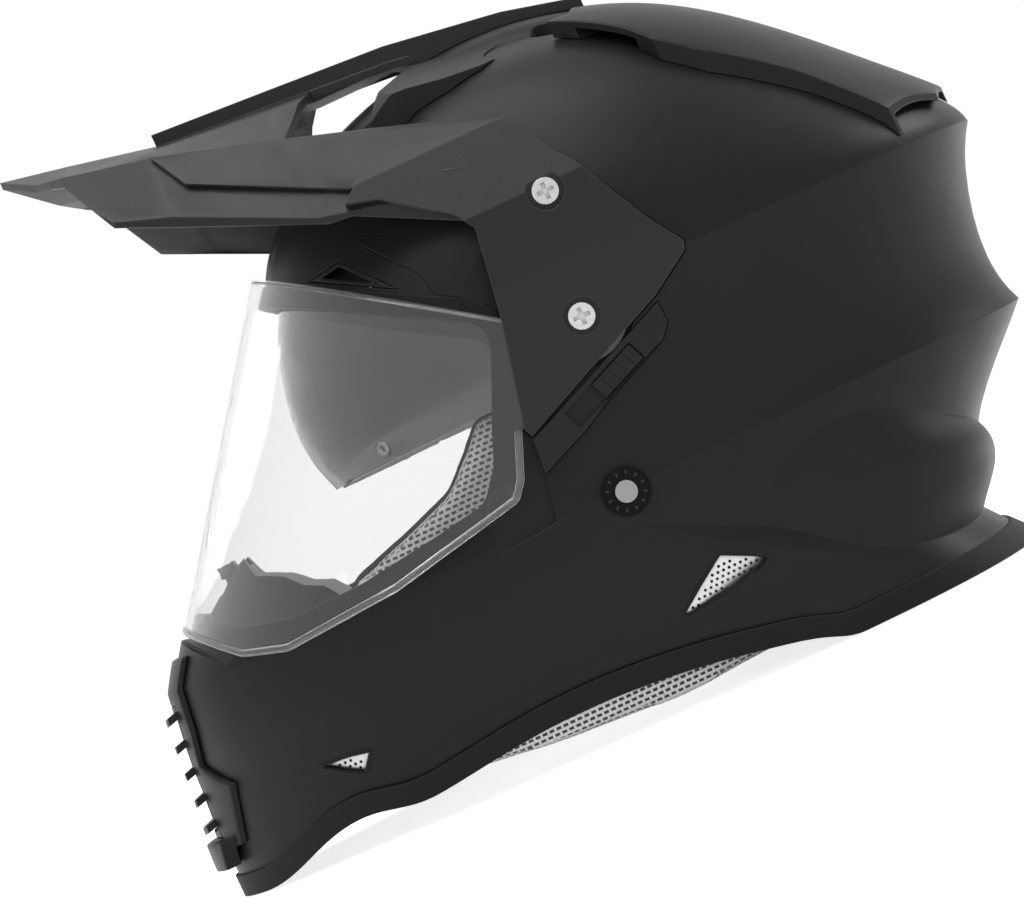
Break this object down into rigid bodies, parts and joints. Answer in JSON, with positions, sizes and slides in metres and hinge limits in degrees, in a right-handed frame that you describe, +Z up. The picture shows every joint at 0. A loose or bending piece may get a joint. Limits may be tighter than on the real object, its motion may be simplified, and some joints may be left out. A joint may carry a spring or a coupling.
{
  "type": "dual sport helmet",
  "caption": "Dual sport full-face helmet with a fixed peak, a clear lifting face shield, a lowered smoke sun visor, vents, pads and a buckled chin strap.",
  "frame": {"origin": "on the surface the helmet stands on, under the middle of its bounding box", "axes": "+X to the wearer's left, +Y to the back of the head, +Z up"},
  "size_m": [0.2488, 0.3972, 0.2996],
  "materials": {
    "shell_black": "matt black",
    "peak_black": "matt black, fine grain",
    "trim_rubber": "soft black",
    "foam": "fine beaded foam, black",
    "pad_fabric": "grey open mesh fabric with dark slits",
    "liner_fabric": "dark brushed fabric",
    "webbing": "black woven webbing",
    "clear_shield": "clear, polished",
    "smoke_visor": "smoke tint, polished",
    "vent_plastic": "matt black",
    "mesh_metal": "perforated, satin",
    "screw_metal": "turned, satin",
    "buckle_metal": "satin",
    "slider_plastic": "matt black",
    "plate_plastic": "smooth black"
  },
  "bodies": {
    "helmet": {"shell": "shell_black", "edge_trim": "trim_rubber", "port_gasket": "trim_rubber", "eps_liner": "foam", "chin_eps": "foam", "comfort_liner": "liner_fabric", "cheek_pad_left": "pad_fabric", "cheek_pad_right": "pad_fabric", "neck_roll": "pad_fabric", "breath_guard": "vent_plastic", "chin_cap": "shell_black", "chin_grille": "vent_plastic", "rear_meshes": "mesh_metal", "chin_meshes": "mesh_metal", "brow_vent_frames": "vent_plastic", "top_vent": "shell_black", "crown_intakes": "shell_black", "peak": "peak_black", "peak_side_screws": "screw_metal", "peak_top_screw": "screw_metal", "pivot_screws": "screw_metal", "pivot_plate_left": "plate_plastic", "pivot_plate_right": "plate_plastic", "sun_visor_pins": "screw_metal", "slider_housing": "slider_plastic", "strap_left": "webbing", "strap_right": "webbing", "strap_rivets": "screw_metal", "rivet_washers": "plate_plastic", "buckle_housing": "buckle_metal", "buckle_tongue": "plate_plastic"},
    "face_shield": {"face_shield": "clear_shield"},
    "sun_visor": {"sun_visor": "smoke_visor"},
    "slider_knob": {"slider_knob": "slider_plastic"},
    "brow_slider_left": {"brow_vent_slider_left": "vent_plastic"},
    "brow_slider_right": {"brow_vent_slider_right": "vent_plastic"},
    "chin_lever": {"chin_vent_lever": "vent_plastic"},
    "buckle_lever": {"buckle_lever": "buckle_metal"}
  },
  "joints": [
    {"name": "shield_pivot", "type": "hinge", "parent": "helmet", "child": "face_shield", "pos_m": [0, 0.023, 0.15], "axis": [-1, 0, 0], "range_deg": [0, 30]},
    {"name": "sun_visor_pivot", "type": "hinge", "parent": "helmet", "child": "sun_visor", "pos_m": [0, 0.0165, 0.15], "axis": [-1, 0, 0], "range_deg": [0, 40]},
    {"name": "knob_slide", "type": "slide", "parent": "helmet", "child": "slider_knob", "axis": [0, -0.9238, -0.3829], "range_m": [0, 0.014]},
    {"name": "brow_left_slide", "type": "slide", "parent": "helmet", "child": "brow_slider_left", "axis": [-0.5826, 0, 0.8128], "range_m": [0, 0.003]},
    {"name": "brow_right_slide", "type": "slide", "parent": "helmet", "child": "brow_slider_right", "axis": [0.5826, 0, 0.8128], "range_m": [0, 0.003]},
    {"name": "chin_lever_slide", "type": "slide", "parent": "helmet", "child": "chin_lever", "axis": [0, 1, 0], "range_m": [0, 0.005]},
    {"name": "buckle_pivot", "type": "hinge", "parent": "helmet", "child": "buckle_lever", "pos_m": [-0.01, 0.0107, 0.0269], "axis": [0, -1, 0], "range_deg": [0, 50], "stiffness_Nm_per_rad": 0.02, "springref_deg": -5.73}
  ],
  "couplings": [
    {"joint": "knob_slide", "follows": "sun_visor_pivot", "m_per_rad": 0.020054}
  ]
}
